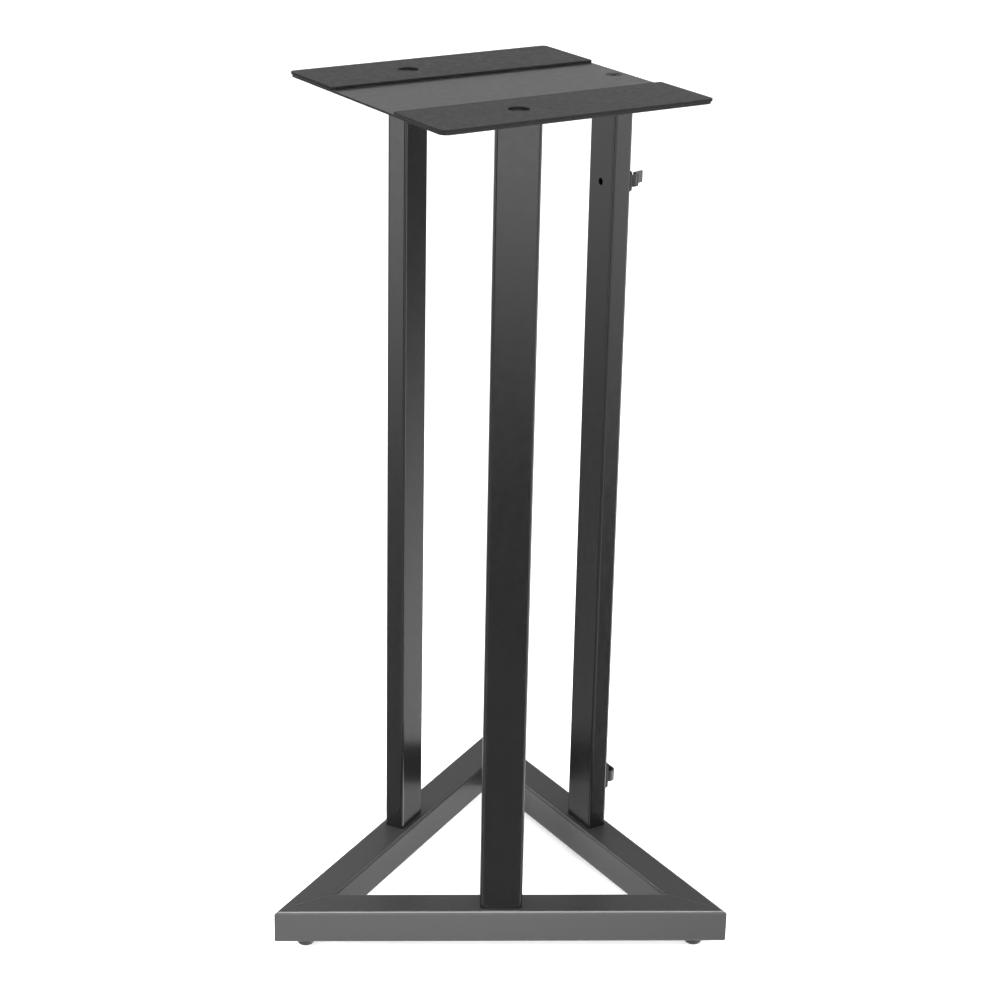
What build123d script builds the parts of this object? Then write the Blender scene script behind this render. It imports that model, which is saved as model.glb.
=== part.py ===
from build123d import *
import math
import os

# Fixed-height speaker stand: a welded triangle of square tube on three levelling feet, three
# bolted posts and a padded deck. Millimetres, +Z up, the front corner of the triangle at -Y.

# ---- driving dimensions -------------------------------------------------------------------
# Base triangle of square tube
BASE_SIDE = 410.0          # length of each outer side
RAIL_SIZE = 31.75          # 1 1/4 inch square tube
RAIL_WALL = 1.5
RAIL_RADIUS = 3.0          # outer corner radius of the tube

# Posts of rectangular tube, wide face along the rail
POST_WIDTH = 38.1          # 1 1/2 inch
POST_DEPTH = 19.05         # 3/4 inch
POST_WALL = 1.5
POST_RADIUS = 2.5
POST_LENGTH = 728.5
NUT_PLATE_THICKNESS = 6.0  # threaded plate welded flush into each post end

# Deck
DECK_WIDTH = 257.0         # along X
DECK_DEPTH = 261.0         # along Y
DECK_THICKNESS = 2.0
DECK_CORNER = 7.5
DECK_EDGE = 0.3
DECK_SET_FORWARD = 15.4    # deck centre ahead of the triangle's centre
PAD_WIDTH = 76.0
PAD_THICKNESS = 2.5
PAD_CORNER = 4.5
PAD_HOLE = 18.0

# M8 joints at both ends of each post
M8_SHANK = 7.9
M8_THREAD = 8.0
M8_CLEARANCE = 9.0
DECK_SCREW_HEAD = 14.0     # countersunk, 90 degrees
DECK_SCREW_SINK = 0.4      # top of the head below the plate's top
DECK_SCREW_LENGTH = 16.0
DECK_SCREW_HEX = 5.0
DECK_SCREW_HEX_DEPTH = 2.6
COUNTERSINK = 15.0         # at the plate's top, 0.1 wider than the head's cone at the same level
BASE_BOLT_HEAD = 13.0
BASE_BOLT_HEAD_HEIGHT = 8.0
BASE_BOLT_LENGTH = 16.0
BASE_BOLT_HEX = 6.0
BASE_BOLT_HEX_DEPTH = 4.0
WASHER_DIAMETER = 16.0
WASHER_THICKNESS = 1.6
LOCK_WASHER_DIAMETER = 13.0
LOCK_WASHER_BORE = 8.4
LOCK_WASHER_THICKNESS = 2.0
LOCK_WASHER_SPLIT = 1.2
LOCK_WASHER_SPLIT_TILT = 20.0
BOLT_ACCESS_HOLE = 17.0    # in the underside of the rail

# Levelling feet, screwed fully home
FOOT_HEIGHT = 8.5          # floor to the underside of the rails
SOLE_DIAMETER = 15.0
SOLE_HEIGHT = 3.6
SOLE_EDGE = 0.8
SOLE_FLOOR = 1.2           # rubber left under the captive button
COLLAR_DIAMETER = 14.4
COLLAR_GRIPS = 20
COLLAR_GRIP_DIAMETER = 1.2
FOOT_GAP = 0.15            # between faces that turn or stop on each other
BUTTON_DIAMETER = 8.0
BUTTON_CLEARANCE = 0.3
NECK_DIAMETER = 5.0
STUD_DIAMETER = 6.0        # M6
STUD_CLEARANCE = 0.05      # radial, in the insert's thread
STUD_TOP = 30.0             # above the floor
STUD_CHAMFER = 0.5
INSERT_DIAMETER = 9.0
INSERT_FLANGE = 12.5
INSERT_FLANGE_THICKNESS = 1.0
INSERT_LENGTH = 11.0
INSERT_HOLE_PLAY = 0.02

# Cable clips on the outer face of the rear post
CLIP_HEIGHTS = {"upper": 669.7, "lower": 81.3}         # hook's middle above the rails' underside
CLIP_FLANGE_WIDTH = 36.0
CLIP_FLANGE_HEIGHTS = {"upper": 18.5, "lower": 27.0}
CLIP_FLANGE_RISE = {"upper": 0.0, "lower": 2.2}        # flange's middle above the hook's middle
CLIP_FLANGE_CORNER = 3.0
CLIP_STRIP = 2.0           # sheet thickness
CLIP_STRIP_HEIGHT = 10.5
CLIP_FOOT_START = 7.5      # where the hook leaves the flange
CLIP_BORE = 9.0            # inside of the bend that holds the cable
CLIP_BEND_X = 10.0         # centre of the bend
CLIP_LIP_START = 7.0
CLIP_LIP_END = 4.5
CLIP_LIP_REACH = 22.0      # tip of the flared lip from the post
CLIP_ARM_END = -4.0        # free end of the lower clip's plain arm
CLIP_SCREW = 4.0
CLIP_SCREW_PLAY = 0.1
CLIP_SCREW_PLACES = {"upper": (0.0, -1.2), "lower": (-10.0, 2.2)}   # from the hook's middle
CLIP_SCREW_HEAD = 7.5
CLIP_SCREW_HEAD_HEIGHT = 2.2
CLIP_SCREW_LENGTH = 8.0
CLIP_SCREW_SLOT = (1.0, 4.6, 1.1)                      # width, length and depth of the cross
CLIP_THROUGH_HOLE = 6.5    # in the inner wall, opposite the upper clip's screw

# ---- derived levels and places ------------------------------------------------------------
SIDES = {"rear": 0.0, "left": 120.0, "right": -120.0}
CORNERS = {"front": 270.0, "rear_right": 30.0, "rear_left": 150.0}
REAR_RAIL_ENDS = ("rear_right", "rear_left")

RAIL_BOTTOM = FOOT_HEIGHT
RAIL_TOP = RAIL_BOTTOM + RAIL_SIZE
POST_TOP = RAIL_TOP + POST_LENGTH
DECK_TOP = POST_TOP + DECK_THICKNESS

# Distances from the triangle's centre: a rail's centre line, a foot where two centre lines meet,
# and the outer face of a post.
RAIL_OFFSET = BASE_SIDE / (2 * math.sqrt(3)) - RAIL_SIZE / 2
FOOT_OFFSET = 2 * RAIL_OFFSET
POST_FACE = RAIL_OFFSET + POST_DEPTH / 2

# The origin is under the middle of the whole stand's box, so the triangle's centre lies at this Y.
FRONT_REACH = BASE_SIDE / math.sqrt(3)
REAR_REACH = POST_FACE + CLIP_LIP_REACH
CENTRE_Y = (FRONT_REACH - REAR_REACH) / 2


def on_side(shape, side):
    """Turns a shape modelled on the rear side to another side and moves it into the stand's frame."""
    return Pos(0, CENTRE_Y, 0) * Rot(Z=SIDES[side]) * shape


def corner_place(corner):
    """Location of a foot's axis on the floor."""
    angle = math.radians(CORNERS[corner])
    return Pos(FOOT_OFFSET * math.cos(angle), CENTRE_Y + FOOT_OFFSET * math.sin(angle), 0)


def disc(diameter, bottom, top):
    """Upright round bar between two heights."""
    centred = (Align.CENTER, Align.CENTER, Align.MIN)
    return Pos(0, 0, bottom) * Cylinder(diameter / 2, top - bottom, align=centred)


def ring(outer, inner, bottom, top):
    return disc(outer, bottom, top) - disc(inner, bottom, top)


def hexagon(across_flats, bottom, top):
    outline = RegularPolygon(across_flats / 2, 6, major_radius=False)
    return Pos(0, 0, bottom) * extrude(outline, top - bottom)


def countersink(diameter, top):
    """Cone of 90 degrees, point down, with its widest end at a height."""
    centred = (Align.CENTER, Align.CENTER, Align.MIN)
    return Pos(0, 0, top - diameter / 2) * Cone(0, diameter / 2, diameter / 2, align=centred)


def tube(width, depth, wall, radius, length):
    """Upright rectangular tube with rounded corners."""
    outside = RectangleRounded(width, depth, radius)
    inside = RectangleRounded(width - 2 * wall, depth - 2 * wall, radius - wall)
    return extrude(outside - inside, length)


# ---- base ---------------------------------------------------------------------------------
def mitre_wedge():
    """The rear third of the triangle, between the lines from its centre through two corners."""
    reach = 2 * FRONT_REACH
    ends = [Vector(reach, 0, 0).rotate(Axis.Z, CORNERS[corner]) for corner in REAR_RAIL_ENDS]
    return extrude(make_face(Polyline((0, 0, 0), *ends, close=True)), RAIL_TOP)


def base_rail():
    """Rear rail, mitred at both ends, with its bolt holes and its halves of the foot insert holes."""
    middle = RAIL_BOTTOM + RAIL_SIZE / 2
    bar = Rot(Y=90) * tube(RAIL_SIZE, RAIL_SIZE, RAIL_WALL, RAIL_RADIUS, BASE_SIDE)
    bar = Pos(-BASE_SIDE / 2, RAIL_OFFSET, middle) * bar
    bar = bar & mitre_wedge()
    bar -= Pos(0, RAIL_OFFSET, 0) * disc(M8_CLEARANCE, middle, RAIL_TOP)
    bar -= Pos(0, RAIL_OFFSET, 0) * disc(BOLT_ACCESS_HOLE, 0, middle)
    hole = disc(INSERT_DIAMETER + 2 * INSERT_HOLE_PLAY, 0, middle)
    for corner in REAR_RAIL_ENDS:
        bar -= Rot(Z=CORNERS[corner]) * Pos(FOOT_OFFSET, 0, 0) * hole
    return bar


# ---- posts --------------------------------------------------------------------------------
def post(is_rear):
    """Post on the rear side. The rear one is drilled for the cable clips."""
    bar = tube(POST_WIDTH, POST_DEPTH, POST_WALL, POST_RADIUS, POST_LENGTH)
    bar = Pos(0, RAIL_OFFSET, RAIL_TOP) * bar
    if is_rear:
        for name in CLIP_HEIGHTS:
            bar -= clip_screw_place(name) * disc(CLIP_SCREW + 2 * CLIP_SCREW_PLAY, -POST_DEPTH / 2, 0)
        bar -= clip_screw_place("upper") * disc(CLIP_THROUGH_HOLE, -3 * POST_DEPTH / 2, -POST_DEPTH / 2)
    return bar


def nut_plate(bottom):
    """Threaded plate that closes a post's end."""
    width = POST_WIDTH - 2 * POST_WALL
    depth = POST_DEPTH - 2 * POST_WALL
    plate = extrude(RectangleRounded(width, depth, POST_RADIUS - POST_WALL), NUT_PLATE_THICKNESS)
    return Pos(0, RAIL_OFFSET, bottom) * (plate - disc(M8_THREAD, 0, NUT_PLATE_THICKNESS))


def top_nut_plate():
    """The deck screw's cone reaches through the deck into this plate."""
    cone = Pos(0, RAIL_OFFSET, 0) * countersink(COUNTERSINK, DECK_TOP)
    return nut_plate(POST_TOP - NUT_PLATE_THICKNESS) - cone


def base_bolt():
    """Socket head bolt, put in from below through the rail's access hole."""
    seat = RAIL_TOP - RAIL_WALL - WASHER_THICKNESS - LOCK_WASHER_THICKNESS
    bottom = seat - BASE_BOLT_HEAD_HEIGHT
    head = disc(BASE_BOLT_HEAD, bottom, seat)
    head -= hexagon(BASE_BOLT_HEX, bottom, bottom + BASE_BOLT_HEX_DEPTH)
    return Pos(0, RAIL_OFFSET, 0) * (head + disc(M8_SHANK, seat, seat + BASE_BOLT_LENGTH))


def base_washer():
    top = RAIL_TOP - RAIL_WALL
    return Pos(0, RAIL_OFFSET, 0) * ring(WASHER_DIAMETER, LOCK_WASHER_BORE, top - WASHER_THICKNESS, top)


def base_lock_washer():
    """Spring washer with its slanted split."""
    top = RAIL_TOP - RAIL_WALL - WASHER_THICKNESS
    bottom = top - LOCK_WASHER_THICKNESS
    body = ring(LOCK_WASHER_DIAMETER, LOCK_WASHER_BORE, bottom, top)
    cutter = Box(LOCK_WASHER_DIAMETER, LOCK_WASHER_SPLIT, LOCK_WASHER_DIAMETER)
    cutter = Rot(X=LOCK_WASHER_SPLIT_TILT) * cutter
    cutter = Pos(LOCK_WASHER_DIAMETER / 2, 0, (bottom + top) / 2) * cutter
    return Pos(0, RAIL_OFFSET, 0) * (body - cutter)


# ---- deck ---------------------------------------------------------------------------------
def deck_place():
    return Pos(0, CENTRE_Y - DECK_SET_FORWARD, 0)


def deck_plate():
    plate = extrude(RectangleRounded(DECK_WIDTH, DECK_DEPTH, DECK_CORNER), DECK_THICKNESS)
    rims = plate.faces().sort_by(Axis.Z)
    plate = fillet(rims[0].edges() + rims[-1].edges(), DECK_EDGE)
    plate = deck_place() * Pos(0, 0, POST_TOP) * plate
    for side in SIDES:
        plate -= on_side(Pos(0, RAIL_OFFSET, 0) * countersink(COUNTERSINK, DECK_TOP), side)
    return plate


def deck_pad(side):
    """Anti-slip pad, flush with the deck's edges, with a hole over the post's screw."""
    sign = {"left": -1, "right": 1}[side]
    outline = RectangleRounded(DECK_WIDTH, DECK_DEPTH, PAD_CORNER)
    strip = Pos(sign * (DECK_WIDTH - PAD_WIDTH) / 2, 0) * Rectangle(PAD_WIDTH, DECK_DEPTH)
    pad = deck_place() * Pos(0, 0, DECK_TOP) * extrude(outline & strip, PAD_THICKNESS)
    hole = disc(PAD_HOLE, DECK_TOP, DECK_TOP + PAD_THICKNESS)
    return pad - on_side(Pos(0, RAIL_OFFSET, 0) * hole, side)


def deck_screw():
    """Countersunk socket screw, a little below the plate's top."""
    top = DECK_TOP - DECK_SCREW_SINK
    screw = countersink(DECK_SCREW_HEAD, top) + disc(M8_SHANK, top - DECK_SCREW_LENGTH, top)
    return Pos(0, RAIL_OFFSET, 0) * (screw - hexagon(DECK_SCREW_HEX, top - DECK_SCREW_HEX_DEPTH, top))


# ---- levelling feet -----------------------------------------------------------------------
def foot_insert():
    """Flanged threaded insert, set in the underside of a mitred corner."""
    bore = STUD_DIAMETER
    flange = ring(INSERT_FLANGE, bore, RAIL_BOTTOM - INSERT_FLANGE_THICKNESS, RAIL_BOTTOM)
    return flange + ring(INSERT_DIAMETER, bore, RAIL_BOTTOM, RAIL_BOTTOM + INSERT_LENGTH)


def foot_sole():
    """Rubber sole with a pocket that keeps the stud's button."""
    body = disc(SOLE_DIAMETER, 0, SOLE_HEIGHT)
    body = fillet(body.edges().sort_by(Axis.Z)[0], SOLE_EDGE)
    lip = SOLE_HEIGHT - SOLE_EDGE
    body -= disc(BUTTON_DIAMETER + 2 * BUTTON_CLEARANCE, SOLE_FLOOR, lip)
    return body - disc(NECK_DIAMETER + 2 * BUTTON_CLEARANCE, lip, SOLE_HEIGHT)


def foot_collar():
    """Knurled finger grip, moulded on the stud."""
    bottom = SOLE_HEIGHT + FOOT_GAP
    top = RAIL_BOTTOM - INSERT_FLANGE_THICKNESS - FOOT_GAP
    body = ring(COLLAR_DIAMETER, STUD_DIAMETER - 2 * STUD_CLEARANCE, bottom, top)
    grip = Pos(COLLAR_DIAMETER / 2, 0, 0) * disc(COLLAR_GRIP_DIAMETER, bottom, top)
    for turn in range(COLLAR_GRIPS):
        body -= Rot(Z=turn * 360 / COLLAR_GRIPS) * grip
    return body


def foot_stud():
    """M6 stud with a button end, snapped into the sole."""
    lip = SOLE_HEIGHT - SOLE_EDGE
    shank = disc(STUD_DIAMETER - 2 * STUD_CLEARANCE, SOLE_HEIGHT + FOOT_GAP, STUD_TOP)
    shank = chamfer(shank.edges().sort_by(Axis.Z)[-1], STUD_CHAMFER)
    button = disc(BUTTON_DIAMETER, SOLE_FLOOR + FOOT_GAP, lip - FOOT_GAP)
    return shank + button + disc(NECK_DIAMETER, lip - FOOT_GAP, SOLE_HEIGHT + FOOT_GAP)


# ---- cable clips --------------------------------------------------------------------------
def clip_place(name):
    """The hook's middle on the rear post's outer face."""
    return Pos(0, CENTRE_Y + POST_FACE, RAIL_BOTTOM + CLIP_HEIGHTS[name])


def clip_screw_place(name):
    """Where a clip's screw meets the post's outer face, turned so that +Z points out of the post."""
    across, up = CLIP_SCREW_PLACES[name]
    return Pos(across, POST_FACE, RAIL_BOTTOM + CLIP_HEIGHTS[name] + up) * Rot(X=-90)


def clip_strip(points):
    """The hook's sheet: a half-round bend off the flange, then a run through the given points."""
    radius = (CLIP_BORE + CLIP_STRIP) / 2
    level = CLIP_STRIP / 2
    start = (CLIP_BEND_X, level)
    crown = (CLIP_BEND_X, level + 2 * radius)
    bend = ThreePointArc(start, (CLIP_BEND_X + radius, level + radius), crown)
    foot = Line((CLIP_FOOT_START, level), start)
    arm = Polyline(crown, *points)
    return trace([foot, bend, arm], CLIP_STRIP)


def clip_flange(name):
    """Flat plate against the post, with its screw hole."""
    across, up = CLIP_SCREW_PLACES[name]
    plate = RectangleRounded(CLIP_FLANGE_WIDTH, CLIP_FLANGE_HEIGHTS[name], CLIP_FLANGE_CORNER)
    plate = Pos(0, 0, CLIP_FLANGE_RISE[name]) * Rot(X=-90) * extrude(plate, CLIP_STRIP)
    hole = disc(CLIP_SCREW + 2 * CLIP_SCREW_PLAY, 0, CLIP_STRIP)
    return plate - Pos(across, 0, up) * Rot(X=-90) * hole


def cable_clip(name):
    """Upper clip with a flared lip, or lower clip with a plain arm, on the rear post."""
    level = CLIP_BORE + 3 * CLIP_STRIP / 2
    if name == "upper":
        points = [(CLIP_LIP_START, level), (CLIP_LIP_END, CLIP_LIP_REACH)]
    else:
        points = [(CLIP_ARM_END, level)]
    hook = extrude(clip_strip(points), CLIP_STRIP_HEIGHT / 2, both=True)
    room = Box(CLIP_FLANGE_WIDTH, CLIP_LIP_REACH, CLIP_STRIP_HEIGHT)
    hook = hook & Pos(0, CLIP_LIP_REACH / 2, 0) * room
    return clip_place(name) * (clip_flange(name) + hook)


def clip_screw(name):
    """Pan head screw through the clip's flange and the post's outer wall."""
    slot_width, slot_length, slot_depth = CLIP_SCREW_SLOT
    head = disc(CLIP_SCREW_HEAD, 0, CLIP_SCREW_HEAD_HEIGHT)
    head = fillet(head.edges().sort_by(Axis.Z)[-1], CLIP_SCREW_HEAD_HEIGHT / 2)
    for length, width in ((slot_length, slot_width), (slot_width, slot_length)):
        head -= Pos(0, 0, CLIP_SCREW_HEAD_HEIGHT) * Box(length, width, 2 * slot_depth)
    screw = head + disc(CLIP_SCREW, -CLIP_SCREW_LENGTH, 0)
    return Pos(0, CENTRE_Y, 0) * clip_screw_place(name) * Pos(0, 0, CLIP_STRIP) * screw


# ---- assembly -----------------------------------------------------------------------------
def group(solids):
    """Identical fasteners as separate solids of one sub-part."""
    return Compound([solid for shape in solids for solid in shape.solids()])


def sub_parts():
    parts = {}
    for side in SIDES:
        parts[f"base_rail_{side}"] = on_side(base_rail(), side)
        parts[f"post_{side}"] = on_side(post(side == "rear"), side)
        parts[f"base_nut_plate_{side}"] = on_side(nut_plate(RAIL_TOP), side)
        parts[f"top_nut_plate_{side}"] = on_side(top_nut_plate(), side)
    parts["deck_plate"] = deck_plate()
    for side in ("left", "right"):
        parts[f"deck_pad_{side}"] = deck_pad(side)
    parts["deck_screws"] = group(on_side(deck_screw(), side) for side in SIDES)
    parts["base_bolts"] = group(on_side(base_bolt(), side) for side in SIDES)
    parts["base_washers"] = group(on_side(base_washer(), side) for side in SIDES)
    parts["base_lock_washers"] = group(on_side(base_lock_washer(), side) for side in SIDES)
    parts["foot_inserts"] = group(corner_place(corner) * foot_insert() for corner in CORNERS)
    for corner in CORNERS:
        parts[f"foot_sole_{corner}"] = corner_place(corner) * foot_sole()
        parts[f"foot_collar_{corner}"] = corner_place(corner) * foot_collar()
        parts[f"foot_stud_{corner}"] = corner_place(corner) * foot_stud()
    for name in CLIP_HEIGHTS:
        parts[f"cable_clip_{name}"] = cable_clip(name)
    parts["clip_screws"] = group(clip_screw(name) for name in CLIP_HEIGHTS)
    return parts


os.makedirs("parts", exist_ok=True)
for node, shape in sub_parts().items():
    export_step(shape, f"parts/{node}.step")
    print(f"{node}: {len(shape.solids())} solid(s), {shape.volume / 1000:.1f} cm3")
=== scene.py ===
"""Looks, light and camera of the speaker stand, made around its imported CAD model."""

import math

import bmesh
import bpy
from mathutils import Matrix, Quaternion, Vector, noise


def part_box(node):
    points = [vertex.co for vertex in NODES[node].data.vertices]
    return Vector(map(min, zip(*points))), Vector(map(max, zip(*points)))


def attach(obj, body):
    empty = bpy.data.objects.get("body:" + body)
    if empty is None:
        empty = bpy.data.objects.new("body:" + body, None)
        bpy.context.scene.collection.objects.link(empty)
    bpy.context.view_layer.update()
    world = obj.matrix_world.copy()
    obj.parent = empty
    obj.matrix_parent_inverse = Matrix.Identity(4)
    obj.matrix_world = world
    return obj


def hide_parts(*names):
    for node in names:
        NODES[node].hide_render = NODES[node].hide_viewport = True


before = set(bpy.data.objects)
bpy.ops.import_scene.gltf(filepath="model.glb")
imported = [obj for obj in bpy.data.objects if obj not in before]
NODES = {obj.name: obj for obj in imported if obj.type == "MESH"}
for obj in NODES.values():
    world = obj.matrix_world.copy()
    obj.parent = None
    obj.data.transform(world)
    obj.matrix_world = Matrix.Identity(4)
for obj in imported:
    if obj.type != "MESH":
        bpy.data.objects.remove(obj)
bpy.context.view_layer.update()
MM = 0.001

SIDES = ("rear", "left", "right")
PAD_SIDES = ("left", "right")
CORNERS = ("front", "rear_right", "rear_left")
UP = Vector((0, 0, 1))

# ---- sizes, in metres -------------------------------------------------------------------------
# Foam pads
PAD_EDGE = 0.45 * MM          # rounded rim
PAD_HOLE = 18.0 * MM
PAD_CORNER = 4.5 * MM
PAD_CORNER_STEPS = 10
PAD_HOLE_STEPS = 48
PAD_RIM_STEPS = 3

# Studs of the feet
STUD_RADIUS = 2.95 * MM
STUD_NECK = 2.5 * MM          # radius between button and collar
STUD_TIP = 0.5 * MM           # chamfer
STUD_STEPS = 36               # points in each ring
BUTTON_HEIGHT = 1.3 * MM
BUTTON_EDGE = 0.3 * MM
THREAD_PITCH = 1.0 * MM
THREAD_DEPTH = 0.54 * MM
THREAD_CREST = 0.12           # share of half a pitch that is flat at the crest
THREAD_FLANK = 0.7            # share that slopes
THREAD_RINGS = 8              # in one pitch

# The tube that the welds lie on
RAIL = 31.75 * MM
RAIL_ROUND = 3.0 * MM

# Ground seam on top of each mitre, and the fillet weld in its inner corner
SEAM_WIDTH = 3.0 * MM
SEAM_PROUD = 0.22 * MM        # what grinding left
SEAM_RIPPLE = 0.35
SEAM_STEP = 0.8 * MM
FILLET_THROAT = 3.2 * MM
FILLET_BULGE = 0.55 * FILLET_THROAT
FILLET_RIPPLE = 0.5
FILLET_STEP = 0.5 * MM
FILLET_INSET = 0.6 * MM       # how deep the bead sits in the corner

# Shape of any bead
BEAD_ARCH_STEPS = 8
BEAD_ROOT_WIDTH = 0.8         # of the bead's own width, under the surface
BEAD_ROOT_DEPTH = 0.3 * MM
BEAD_RIPPLE_SIZE = 2.2 * MM
BEAD_LIFT_SHIFT = Vector((7.0, 3.0, 5.0))   # keeps the height's ripple apart from the width's
BEAD_END_SIZE = 0.3           # of the full size, at both ends
BEAD_END_GROWTH = 4.0         # gain in size from an end, for the path's whole length

# ---- finishes: linear grey tone and roughness ---------------------------------------------------
POST_COAT = (0.004, 0.2)
# The rails wear the posts' coat painted lighter: painted light, standing in for the light near the floor
RAIL_COAT_PAINTED_LIGHT = (0.028, 0.32)
DECK_COAT = (0.028, 0.34)
# Upright faces of the deck plate and the foam pads: painted shade (a darker tone) and a rougher surface
DECK_SIDE_SHADE_ROUGH = (0.012, 0.7)
FOAM_SIDE_SHADE_ROUGH = (0.014, 0.95)

# ---- camera: its place in metres, and the direction it looks from in degrees ---------------------
CAMERA_PLACE = (1.6468, -1.0023, 1.1765)
CAMERA_AZIMUTH = 57.538
CAMERA_ELEVATION = 20.344
CAMERA_ROLL = 1.208
CAMERA_LENS = 84.26
CAMERA_SENSOR = 36.0
CAMERA_SHIFT = -0.06
CAMERA_NEAR = 0.05

# ---- stage and studio, in metres, degrees and watts ----------------------------------------------
FLOOR_REACH = 40.0
FLOOR_GLOW = 0.4
ZENITH_POWER = 0.4
ZENITH_ANGLE = 100

# Only reflections see the panels and bands. All panels lie below the horizon and fade out at it.
HORIZON_FADE = (-4, 2, 1.0, 0.0)

# Panels: azimuth, half width, softness, two heights, and the tone below and above them
PANELS = (
    (0, 12, 4, (-23, -11), (0.2, 3.7)),
    (33, 15, 3, (-21, -16), (1.5, 0.0)),
    (62, 12, 3, (-19, -12), (0.1, 4.0)),
    (93, 14, 4, (-21, -13), (2.2, 0.5)),
    (120, 12, 4, (-24, -11), (0.1, 2.6)),
    (151, 13, 3, (-21, -13), (7.0, 3.6)),
    (190, 16, 4, (-27, -14), (1.35, 0.15)),
    (228, 20, 5, (-40, -10), (0.7, 0.7)),
    (262, 14, 5, (-30, -8), (0.5, 0.9)),
    (338, 9, 4, (-30, -8), (0.4, 0.9)),
    (302, 28, 8, (-20, -12), (0.33, 1.1)),
    (302, 24, 8, (-32.5, -29.5), (1.2, 0.0)),
)
PANEL_FADES = {190: (-30.5, -27.5, 0.4, 1.0)}    # by azimuth: two heights, and a factor at each

# Bands: lowest and highest height, softness and tone. Sides: azimuth, half width and softness.
DECK_BAND = (10, 23, 3, 1.12)                    # what the deck's top reflects to the camera
DECK_BAND_SIDE = (237, 15, 6)
HORIZON_BAND = (-9, 8, 3, 0.75)                  # keeps upright faces from going black
HORIZON_DIM = 0.55
HORIZON_DIM_SIDE = (237, 60, 10)
EDGE_BAND = (48, 80, 8, 17.0)                    # bright line along the rails' rounded edges
EDGE_BAND_SIDE = (62, 30, 12)
UPPER_SKY = (24, 30, 0.02, 0.12)                 # two heights, and the tone below and above them

# Places are azimuth, distance and height
REAR_FILL_PLACE = (320, 0.4, 0.12)
REAR_FILL_TARGET = (180, 0.1, 0.02)
REAR_FILL_SIZE = (0.12, 0.12)
REAR_FILL_POWER = 3.5
LOW_STRIPS = ((60, 6.0), (180, 1.5), (300, 4.6))  # azimuth and power
LOW_STRIP_PLACE = (0.5, 0.06)
LOW_STRIP_TARGET = (0, 0, 0.03)
LOW_STRIP_SIZE = (0.5, 0.06)
KEY_STRIP_PLACE = (1.3, 1.3)
KEY_STRIP_TARGET = (0, 0, 0.1)
KEY_STRIP_SIZE = (1.6, 0.1)
KEY_STRIP_POWER = 7.0


# ---- materials --------------------------------------------------------------------------------
class Finish:
    """A Principled material whose patterns run in the part's own coordinates, in metres."""

    def __init__(self, name, **sockets):
        self.material = bpy.data.materials.new(name)
        self.material.use_nodes = True
        self.tree = self.material.node_tree
        self.shader = self.tree.nodes["Principled BSDF"]
        for socket, value in sockets.items():
            self.shader.inputs[socket.replace("_", " ")].default_value = value
        self.place = self.add("ShaderNodeTexCoord").outputs["Object"]
        self.normal = None

    def add(self, kind, **settings):
        """A new node. Settings are its own properties, or the values of its sockets."""
        node = self.tree.nodes.new(kind)
        for key, value in settings.items():
            if hasattr(node, key):
                setattr(node, key, value)
            else:
                node.inputs[key].default_value = value
        return node

    def link(self, source, target):
        self.tree.links.new(source, target)

    def noise(self, size, detail=3.0):
        """Soft noise from 0 to 1 whose features are about size metres across."""
        node = self.add("ShaderNodeTexNoise", Scale=1.0 / size, Detail=detail)
        self.link(self.place, node.inputs["Vector"])
        return node.outputs["Fac"]

    def cells(self, size):
        """Distance to the middle of cells about size metres across."""
        node = self.add("ShaderNodeTexVoronoi", Scale=1.0 / size)
        self.link(self.place, node.inputs["Vector"])
        return node.outputs["Distance"]

    def spread(self, source, low, high, start=0.3, end=0.7):
        """The pattern from start to end becomes a value from low to high."""
        node = self.add("ShaderNodeMapRange")
        limits = {"From Min": start, "From Max": end, "To Min": low, "To Max": high}
        for socket, value in limits.items():
            node.inputs[socket].default_value = value
        self.link(source, node.inputs["Value"])
        return node.outputs["Result"]

    def roughness(self, source, low, high):
        self.link(self.spread(source, low, high), self.shader.inputs["Roughness"])

    def mix(self, kind, factor, first, second):
        """Blends two sources or values. kind is RGBA for colours and FLOAT for numbers."""
        node = self.add("ShaderNodeMix", data_type=kind)
        wanted = "RGBA" if kind == "RGBA" else "VALUE"
        sockets = {socket.name: socket for socket in node.inputs if socket.type == wanted}
        for name, value in (("A", first), ("B", second)):
            if isinstance(value, bpy.types.NodeSocket):
                self.link(value, sockets[name])
            else:
                sockets[name].default_value = value
        self.link(factor, node.inputs["Factor"])
        return [socket for socket in node.outputs if socket.type == wanted][0]

    def colour(self, source, dark, light):
        result = self.mix("RGBA", self.spread(source, 0.0, 1.0), (*dark, 1.0), (*light, 1.0))
        self.link(result, self.shader.inputs["Base Color"])

    def side_factor(self):
        """0 on faces that look up or down, 1 on upright ones."""
        normal = self.add("ShaderNodeNewGeometry").outputs["Normal"]
        parts = self.add("ShaderNodeSeparateXYZ")
        self.link(normal, parts.inputs["Vector"])
        steep = self.add("ShaderNodeMath", operation="ABSOLUTE")
        self.link(parts.outputs["Z"], steep.inputs[0])
        return self.spread(steep.outputs[0], 1.0, 0.0, 0.3, 0.8)

    def shade_and_roughen_sides(self, tone, rough):
        """Painted shade: a darker tone on upright faces only, with a rougher surface there."""
        side = self.side_factor()
        changes = (("Base Color", "RGBA", (*grey(tone), 1.0)), ("Roughness", "FLOAT", rough))
        for name, kind, value in changes:
            socket = self.shader.inputs[name]
            self.link(self.mix(kind, side, socket.links[0].from_socket, value), socket)

    def bump(self, source, depth):
        """Adds relief of a depth in metres to the relief that is there."""
        node = self.add("ShaderNodeBump", Strength=1.0, Distance=depth)
        self.link(source, node.inputs["Height"])
        if self.normal is not None:
            self.link(self.normal, node.inputs["Normal"])
        self.normal = node.outputs["Normal"]
        self.link(self.normal, self.shader.inputs["Normal"])


def grey(value):
    return (value, value, value)


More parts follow.
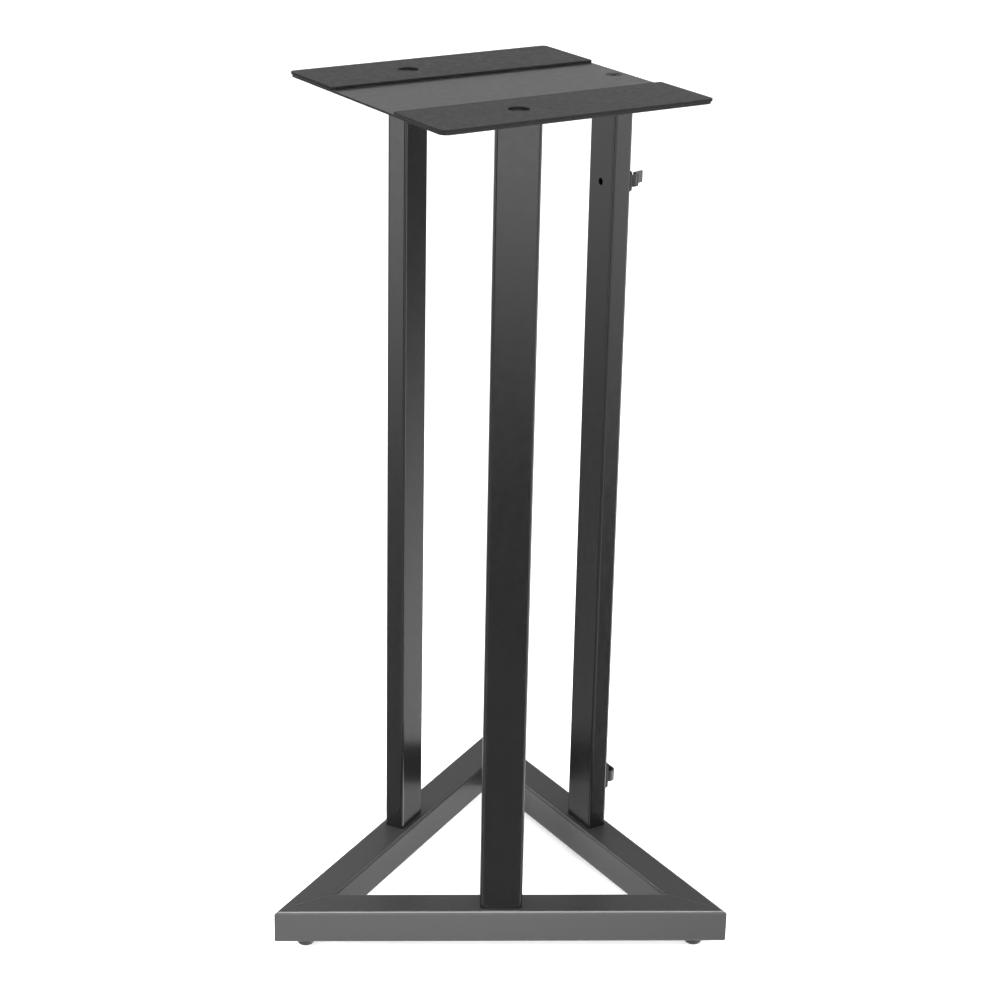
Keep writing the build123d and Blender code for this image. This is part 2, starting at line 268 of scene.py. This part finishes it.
def powder_coat(name, tone, rough, **sockets):
    """Satin charcoal powder coat: orange peel, fine grain and slight tone changes."""
    coat = Finish(name, **sockets)
    coat.colour(coat.noise(1.1 * MM, 2.0), grey(tone * 0.98), grey(tone * 1.02))
    coat.roughness(coat.noise(7 * MM, 4.0), rough - 0.02, rough + 0.03)
    coat.bump(coat.noise(1.8 * MM, 2.0), 0.003 * MM)
    coat.bump(coat.noise(0.35 * MM, 2.0), 0.0006 * MM)
    return coat


def deck_coat():
    """The same coat on the deck, with painted shade and a rougher surface on its upright edges."""
    coat = powder_coat("powder_coat_deck", *DECK_COAT, Specular_IOR_Level=0.25)
    coat.shade_and_roughen_sides(*DECK_SIDE_SHADE_ROUGH)
    return coat.material


def foam_rubber():
    """Closed-cell foam sheet with a fine leathery grain."""
    foam = Finish("foam_rubber", Specular_IOR_Level=0.25)
    foam.colour(foam.noise(1.1 * MM, 5.0), grey(0.024), grey(0.044))
    foam.roughness(foam.noise(5 * MM), 0.6, 0.76)
    # painted shade: the foam's upright faces get a darker tone, and a rougher surface
    foam.shade_and_roughen_sides(*FOAM_SIDE_SHADE_ROUGH)
    foam.bump(foam.cells(1.0 * MM), 0.14 * MM)
    foam.bump(foam.noise(0.4 * MM, 4.0), 0.07 * MM)
    foam.bump(foam.noise(14 * MM, 2.0), 0.08 * MM)
    return foam.material


def moulded_rubber():
    """Matt rubber of the feet's soles."""
    rubber = Finish("moulded_rubber")
    rubber.colour(rubber.noise(4 * MM), grey(0.014), grey(0.026))
    rubber.roughness(rubber.noise(1.5 * MM), 0.6, 0.78)
    rubber.bump(rubber.noise(0.5 * MM), 0.02 * MM)
    return rubber.material


def nylon():
    """Moulded plastic of the feet's collars."""
    plastic = Finish("black_nylon")
    plastic.colour(plastic.noise(6 * MM), grey(0.018), grey(0.03))
    plastic.roughness(plastic.noise(2 * MM), 0.38, 0.5)
    plastic.bump(plastic.noise(0.6 * MM), 0.01 * MM)
    return plastic.material


def zinc():
    """Zinc plate: faint spangle and a dull, uneven shine."""
    metal = Finish("zinc_plate", Metallic=1.0)
    metal.colour(metal.noise(3 * MM, 4.0), (0.42, 0.43, 0.45), (0.58, 0.59, 0.6))
    metal.roughness(metal.noise(1.2 * MM), 0.28, 0.42)
    metal.bump(metal.noise(0.6 * MM), 0.008 * MM)
    return metal.material


def coated_screw():
    """Satin black coating on the screws that show."""
    coat = Finish("coated_screw", Specular_IOR_Level=0.3)
    coat.colour(coat.noise(1.5 * MM, 4.0), grey(0.018), grey(0.026))
    coat.roughness(coat.noise(1.0 * MM), 0.46, 0.56)
    coat.bump(coat.noise(0.5 * MM), 0.006 * MM)
    return coat.material


def lacquered_steel():
    """Black lacquered sheet of the cable clips."""
    metal = Finish("lacquered_steel", Specular_IOR_Level=0.35)
    metal.colour(metal.noise(5 * MM), grey(0.011), grey(0.017))
    metal.roughness(metal.noise(2 * MM), 0.3, 0.36)
    metal.bump(metal.noise(0.8 * MM), 0.006 * MM)
    return metal.material


def paint(names, material):
    """Gives CAD nodes a material."""
    for name in names:
        data = NODES[name].data
        data.materials.clear()
        data.materials.append(material)


# ---- mesh helpers -----------------------------------------------------------------------------
def make_object(name, mesh, material):
    piece = bpy.data.objects.new(name, mesh)
    bpy.context.scene.collection.objects.link(piece)
    mesh.materials.clear()
    mesh.materials.append(material)
    return piece


def mesh_from_rings(name, rings):
    """Joins rings of points, each with the same count, into one closed skin with flat ends."""
    made = bmesh.new()
    loops = [[made.verts.new(point) for point in ring] for ring in rings]
    count = len(loops[0])
    for low, high in zip(loops, loops[1:]):
        for k in range(count):
            after = (k + 1) % count
            made.faces.new((low[k], low[after], high[after], high[k]))
    made.faces.new(list(reversed(loops[0])))
    made.faces.new(loops[-1])
    bmesh.ops.recalc_face_normals(made, faces=made.faces)
    mesh = bpy.data.meshes.new(name)
    made.to_mesh(mesh)
    made.free()
    for face in mesh.polygons:
        face.use_smooth = True
    return mesh


# ---- deck pads --------------------------------------------------------------------------------
def arc_points(centre, radius, start, end, steps):
    for k in range(steps + 1):
        angle = math.radians(start + (end - start) * k / steps)
        yield centre[0] + radius * math.cos(angle), centre[1] + radius * math.sin(angle)


def pad_outline(low, high, side, shrink):
    """Outline of a pad, rounded at its two outer corners, drawn in by shrink."""
    x0, y0, x1, y1 = low.x + shrink, low.y + shrink, high.x - shrink, high.y - shrink
    radius = PAD_CORNER - shrink
    if side == "right":
        points = [(x0, y1), (x0, y0)]
        corners = (((x1 - radius, y0 + radius), -90), ((x1 - radius, y1 - radius), 0))
    else:
        points = [(x1, y0), (x1, y1)]
        corners = (((x0 + radius, y1 - radius), 90), ((x0 + radius, y0 + radius), 180))
    for centre, start in corners:
        points += arc_points(centre, radius, start, start + 90, PAD_CORNER_STEPS)
    return points


def pad_hole(side):
    """Outline of the hole over the post's screw, widened by the rim that closes it again."""
    post_low, post_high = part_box(f"top_nut_plate_{side}")
    middle = (post_low + post_high) / 2
    end = 360 - 360 / PAD_HOLE_STEPS
    return list(arc_points((middle.x, middle.y), PAD_HOLE / 2 + PAD_EDGE, 0, end, PAD_HOLE_STEPS - 1))


def deck_pad(side, material):
    """Die-cut foam pad with rounded rims, which stands for the CAD's plain one."""
    node = f"deck_pad_{side}"
    low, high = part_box(node)
    curve = bpy.data.curves.new(f"{node}_outline", "CURVE")
    curve.dimensions = "2D"
    curve.fill_mode = "BOTH"
    curve.extrude = (high.z - low.z) / 2 - PAD_EDGE
    curve.bevel_depth = PAD_EDGE
    curve.bevel_resolution = PAD_RIM_STEPS
    for points in (pad_outline(low, high, side, PAD_EDGE), pad_hole(side)):
        spline = curve.splines.new("POLY")
        spline.points.add(len(points) - 1)
        for point, (x, y) in zip(spline.points, points):
            point.co = (x, y, 0, 1)
        spline.use_cyclic_u = True
    shape = bpy.data.objects.new(f"{node}_outline", curve)
    bpy.context.scene.collection.objects.link(shape)
    bpy.context.view_layer.update()
    mesh = bpy.data.meshes.new_from_object(shape)
    mesh.name = f"{node}_foam"
    bpy.data.objects.remove(shape)
    mesh.transform(Matrix.Translation((0, 0, (low.z + high.z) / 2)))
    pad = make_object(f"{node}_foam", mesh, material)
    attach(pad, "stand")
    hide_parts(node)


# ---- studs ------------------------------------------------------------------------------------
def thread_cut(turn, z):
    """Depth of a right-hand thread at a turn (0 to 1) and height, with flat crest and root."""
    phase = (z / THREAD_PITCH - turn) % 1.0
    flank = min(phase, 1.0 - phase) * 2
    return THREAD_DEPTH * min(max((flank - THREAD_CREST) / THREAD_FLANK, 0.0), 1.0)


def thread_rows(start, end):
    """Rows of radius and height up the threaded length. The first pitch fades in."""
    z = start
    while z < end:
        z = min(z + THREAD_PITCH / THREAD_RINGS, end)
        run_out = min(1.0, (z - start) / THREAD_PITCH)
        yield [(STUD_RADIUS - run_out * thread_cut(k / STUD_STEPS, z), z) for k in range(STUD_STEPS)]


def foot_stud(corner, material):
    """The stud with its real thread, button and neck."""
    node = f"foot_stud_{corner}"
    low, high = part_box(node)
    collar_low, collar_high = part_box(f"foot_collar_{corner}")
    centre = (low + high) / 2
    button = (high.x - low.x) / 2
    button_top = low.z + BUTTON_HEIGHT
    profile = [
        (button - BUTTON_EDGE, low.z),
        (button, low.z + BUTTON_EDGE),
        (button, button_top - BUTTON_EDGE),
        (button - BUTTON_EDGE, button_top),
        (STUD_NECK, button_top),
        (STUD_NECK, collar_low.z),
        (STUD_RADIUS, collar_low.z),
        (STUD_RADIUS, collar_high.z),
    ]
    rows = [[place] * STUD_STEPS for place in profile]
    rows += thread_rows(collar_high.z, high.z - STUD_TIP)
    rows.append([(STUD_RADIUS - STUD_TIP, high.z)] * STUD_STEPS)
    rings = []
    for row in rows:
        ring = []
        for k, (radius, z) in enumerate(row):
            angle = 2 * math.pi * k / STUD_STEPS
            ring.append((centre.x + radius * math.cos(angle), centre.y + radius * math.sin(angle), z))
        rings.append(ring)
    stud = make_object(f"{node}_thread", mesh_from_rings(f"{node}_thread", rings), material)
    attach(stud, f"foot_{corner}_screw")
    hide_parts(node)


# ---- welds ------------------------------------------------------------------------------------
def bead(name, path, side, up, width, height, ripple, material):
    """A weld bead along path: a low arch from -side to +side that stands height up."""
    steps = len(path)
    rings = []
    for k, point in enumerate(path):
        seed = point / BEAD_RIPPLE_SIZE
        wobble = 1 + ripple * noise.noise(seed)
        lift = 1 + ripple * noise.noise(seed + BEAD_LIFT_SHIFT)
        nearest_end = min(k, steps - 1 - k) / steps
        taper = min(1.0, BEAD_END_GROWTH * nearest_end + BEAD_END_SIZE)
        ring = []
        for j in range(BEAD_ARCH_STEPS + 1):
            angle = math.pi * j / BEAD_ARCH_STEPS
            across = side * (-math.cos(angle) * width / 2 * wobble * taper)
            ring.append(point + across + up * (math.sin(angle) * height * lift * taper))
        root = side * (width / 2 * BEAD_ROOT_WIDTH * taper)
        ring.append(point + root - up * BEAD_ROOT_DEPTH)
        ring.append(point - root - up * BEAD_ROOT_DEPTH)
        rings.append(ring)
    piece = make_object(name, mesh_from_rings(name, rings), material)
    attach(piece, "stand")


def line(start, end, step):
    """Points from start to end, about step apart."""
    count = max(2, int((end - start).length / step))
    return [start.lerp(end, k / count) for k in range(count + 1)]


def corner_point(corner):
    """Where a foot's axis meets the floor, under the middle of a mitre."""
    low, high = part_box(f"foot_sole_{corner}")
    return Vector(((low.x + high.x) / 2, (low.y + high.y) / 2, 0.0))


def corner_welds(corner, centre, material):
    """Welds of one mitred corner: a ground seam on top and a small fillet in the inner corner.

    The rails meet at 60 degrees, so along the mitre a distance is twice what it is across a rail.
    """
    middle = corner_point(corner)
    outward = (middle - centre).normalized()
    side = Vector((-outward.y, outward.x, 0.0))
    low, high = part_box("base_rail_rear")
    inner = middle - outward * RAIL
    outer = middle + outward * RAIL
    rounded = outward * (2 * RAIL_ROUND)
    path = line(inner + UP * high.z + rounded, outer + UP * high.z - rounded, SEAM_STEP)
    bead(f"weld_top_{corner}", path, side, UP, SEAM_WIDTH, SEAM_PROUD, SEAM_RIPPLE, material)
    inside = inner + outward * FILLET_INSET
    path = line(inside + UP * (low.z + RAIL_ROUND), inside + UP * (high.z - RAIL_ROUND), FILLET_STEP)
    bead(f"weld_inside_{corner}", path, side, -outward, FILLET_THROAT, FILLET_BULGE, FILLET_RIPPLE, material)


# ---- stage, light and camera ------------------------------------------------------------------
def floor():
    mesh = bpy.data.meshes.new("floor")
    corners = [(-1, -1), (1, -1), (1, 1), (-1, 1)]
    mesh.from_pydata([(x * FLOOR_REACH, y * FLOOR_REACH, 0) for x, y in corners], [], [(0, 1, 2, 3)])
    white = (1.0, 1.0, 1.0, 1.0)
    surface = Finish("pale_floor", Roughness=0.9, Emission_Color=white, Emission_Strength=FLOOR_GLOW)
    surface.colour(surface.noise(0.8, 2.0), grey(0.86), grey(0.88))
    surface.material.cycles.emission_sampling = "NONE"
    piece = make_object("floor", mesh, surface.material)
    piece.visible_glossy = False


class Sky:
    """The studio round the stand. Reflections see panels by azimuth and height, the rest is white."""

    def __init__(self):
        self.world = bpy.data.worlds.new("studio")
        self.world.use_nodes = True
        self.tree = self.world.node_tree
        place = self.tree.nodes.new("ShaderNodeTexCoord").outputs["Generated"]
        parts = self.tree.nodes.new("ShaderNodeSeparateXYZ")
        self.tree.links.new(place, parts.inputs["Vector"])
        backward = self.math("MULTIPLY", parts.outputs["Y"], -1.0)
        self.azimuth = self.math("ARCTAN2", parts.outputs["X"], backward)
        self.height = self.math("ARCSINE", parts.outputs["Z"])

    def math(self, operation, *values):
        node = self.tree.nodes.new("ShaderNodeMath")
        node.operation = operation
        for socket, value in zip(node.inputs, values):
            if isinstance(value, (int, float)):
                socket.default_value = value
            else:
                self.tree.links.new(value, socket)
        return node.outputs[0]

    def multiply(self, first, second):
        return self.math("MULTIPLY", first, second)

    def ramp(self, source, start, end, low, high):
        """A smooth step from low to high as the angle goes from start to end degrees."""
        node = self.tree.nodes.new("ShaderNodeMapRange")
        node.interpolation_type = "SMOOTHSTEP"
        limits = (math.radians(start), math.radians(end), low, high)
        for socket, value in zip(("From Min", "From Max", "To Min", "To Max"), limits):
            node.inputs[socket].default_value = value
        self.tree.links.new(source, node.inputs["Value"])
        return node.outputs["Result"]

    def beside(self, azimuth, reach, soft):
        """1 within reach degrees of an azimuth, and 0 outside it."""
        turn = self.math("SUBTRACT", self.azimuth, math.radians(azimuth))
        offset = self.math("ABSOLUTE", self.math("WRAP", turn, math.pi, -math.pi))
        return self.ramp(offset, reach - soft, reach + soft, 1.0, 0.0)

    def panel(self, azimuth, reach, soft, heights, tones):
        """A panel centred on an azimuth, with one tone low down and another one higher up."""
        return self.multiply(self.beside(azimuth, reach, soft), self.ramp(self.height, *heights, *tones))

    def band(self, start, end, soft, tone):
        """A tone between two heights in degrees."""
        rise = self.ramp(self.height, start - soft, start + soft, 0.0, tone)
        return self.multiply(rise, self.ramp(self.height, end - soft, end + soft, 1.0, 0.0))

    def finish(self, parts):
        """The world shows the sum of parts to reflections, and white to everything else."""
        reflected = 0.0
        for part in parts:
            reflected = self.math("ADD", reflected, part)
        ray = self.tree.nodes.new("ShaderNodeLightPath").outputs["Is Glossy Ray"]
        change = self.multiply(ray, self.math("SUBTRACT", reflected, 1.0))
        strength = self.math("ADD", change, 1.0)
        background = self.tree.nodes["Background"]
        background.inputs["Color"].default_value = (1.0, 1.0, 1.0, 1.0)
        self.tree.links.new(strength, background.inputs["Strength"])
        self.world.cycles.sampling_method = "NONE"
        bpy.context.scene.world = self.world


def studio():
    sky = Sky()
    below = sky.ramp(sky.height, *HORIZON_FADE)
    parts = []
    for azimuth, *shape in PANELS:
        panel = sky.panel(azimuth, *shape)
        if azimuth in PANEL_FADES:
            panel = sky.multiply(panel, sky.ramp(sky.height, *PANEL_FADES[azimuth]))
        parts.append(sky.multiply(below, panel))
    parts.append(sky.multiply(sky.band(*DECK_BAND), sky.beside(*DECK_BAND_SIDE)))
    parts.append(sky.ramp(sky.height, *UPPER_SKY))
    dim = sky.math("SUBTRACT", 1.0, sky.multiply(HORIZON_DIM, sky.beside(*HORIZON_DIM_SIDE)))
    parts.append(sky.multiply(sky.band(*HORIZON_BAND), dim))
    parts.append(sky.multiply(sky.band(*EDGE_BAND), sky.beside(*EDGE_BAND_SIDE)))
    sky.finish(parts)


def add_light(name, kind, power):
    data = bpy.data.lights.new(name, kind)
    data.energy = power
    light = bpy.data.objects.new(name, data)
    bpy.context.scene.collection.objects.link(light)
    return light


def soft_light(name, place, target, size, power, in_reflections=True):
    light = add_light(name, "AREA", power)
    light.data.shape = "RECTANGLE"
    light.data.size, light.data.size_y = size
    light.location = place
    light.rotation_mode = "QUATERNION"
    light.rotation_quaternion = (Vector(target) - Vector(place)).to_track_quat("-Z", "Y")
    light.visible_camera = False
    light.visible_glossy = in_reflections


def turned(azimuth, distance, height):
    """A place round the stand: azimuth 0 is in front of it (-Y), and 90 is at +X."""
    a = math.radians(azimuth)
    return Vector((math.sin(a) * distance, -math.cos(a) * distance, height))


def lights():
    """Very soft light from above that keeps the floor white, a small fill, and low and high strips."""
    add_light("zenith", "SUN", ZENITH_POWER).data.angle = math.radians(ZENITH_ANGLE)
    place, target = turned(*REAR_FILL_PLACE), turned(*REAR_FILL_TARGET)
    soft_light("rear_fill", place, target, REAR_FILL_SIZE, REAR_FILL_POWER, in_reflections=False)
    for azimuth, power in LOW_STRIPS:
        low = turned(azimuth, *LOW_STRIP_PLACE)
        high = turned(azimuth, *KEY_STRIP_PLACE)
        soft_light(f"low_strip_{azimuth}", low, LOW_STRIP_TARGET, LOW_STRIP_SIZE, power, in_reflections=False)
        soft_light(f"key_strip_{azimuth}", high, KEY_STRIP_TARGET, KEY_STRIP_SIZE, KEY_STRIP_POWER)


def camera():
    data = bpy.data.cameras.new("camera")
    data.sensor_width = CAMERA_SENSOR
    data.lens = CAMERA_LENS
    data.shift_y = CAMERA_SHIFT
    data.clip_start, data.clip_end = CAMERA_NEAR, 4 * FLOOR_REACH
    eye = bpy.data.objects.new("camera", data)
    bpy.context.scene.collection.objects.link(eye)
    eye.location = CAMERA_PLACE
    elevation = math.radians(CAMERA_ELEVATION)
    back = turned(CAMERA_AZIMUTH, math.cos(elevation), math.sin(elevation))
    roll = Quaternion((0, 0, 1), math.radians(CAMERA_ROLL))    # about the line of sight
    eye.rotation_mode = "QUATERNION"
    eye.rotation_quaternion = (-back).to_track_quat("-Z", "Y") @ roll
    bpy.context.scene.camera = eye


# ---- the scene --------------------------------------------------------------------------------
def build():
    camera()
    posts = powder_coat("powder_coat_posts", *POST_COAT).material
    # rails: the posts' coat painted lighter, as painted light
    rails = powder_coat("powder_coat_rails_painted_light", *RAIL_COAT_PAINTED_LIGHT).material
    foam = foam_rubber()
    steel = zinc()
    paint([f"base_rail_{side}" for side in SIDES], rails)
    paint([f"post_{side}" for side in SIDES], posts)
    paint(["deck_plate"], deck_coat())
    paint([f"{end}_nut_plate_{side}" for side in SIDES for end in ("base", "top")], steel)
    paint(["base_bolts", "base_washers", "base_lock_washers", "foot_inserts"], steel)
    paint(["deck_screws", "clip_screws"], coated_screw())
    paint(["cable_clip_upper", "cable_clip_lower"], lacquered_steel())
    paint([f"foot_sole_{corner}" for corner in CORNERS], moulded_rubber())
    paint([f"foot_collar_{corner}" for corner in CORNERS], nylon())
    for side in PAD_SIDES:
        deck_pad(side, foam)
    centre = sum((corner_point(corner) for corner in CORNERS), Vector()) / len(CORNERS)
    for corner in CORNERS:
        foot_stud(corner, steel)
        corner_welds(corner, centre, rails)
    floor()
    studio()
    lights()
    bpy.context.scene.view_settings.view_transform = "Standard"


build()
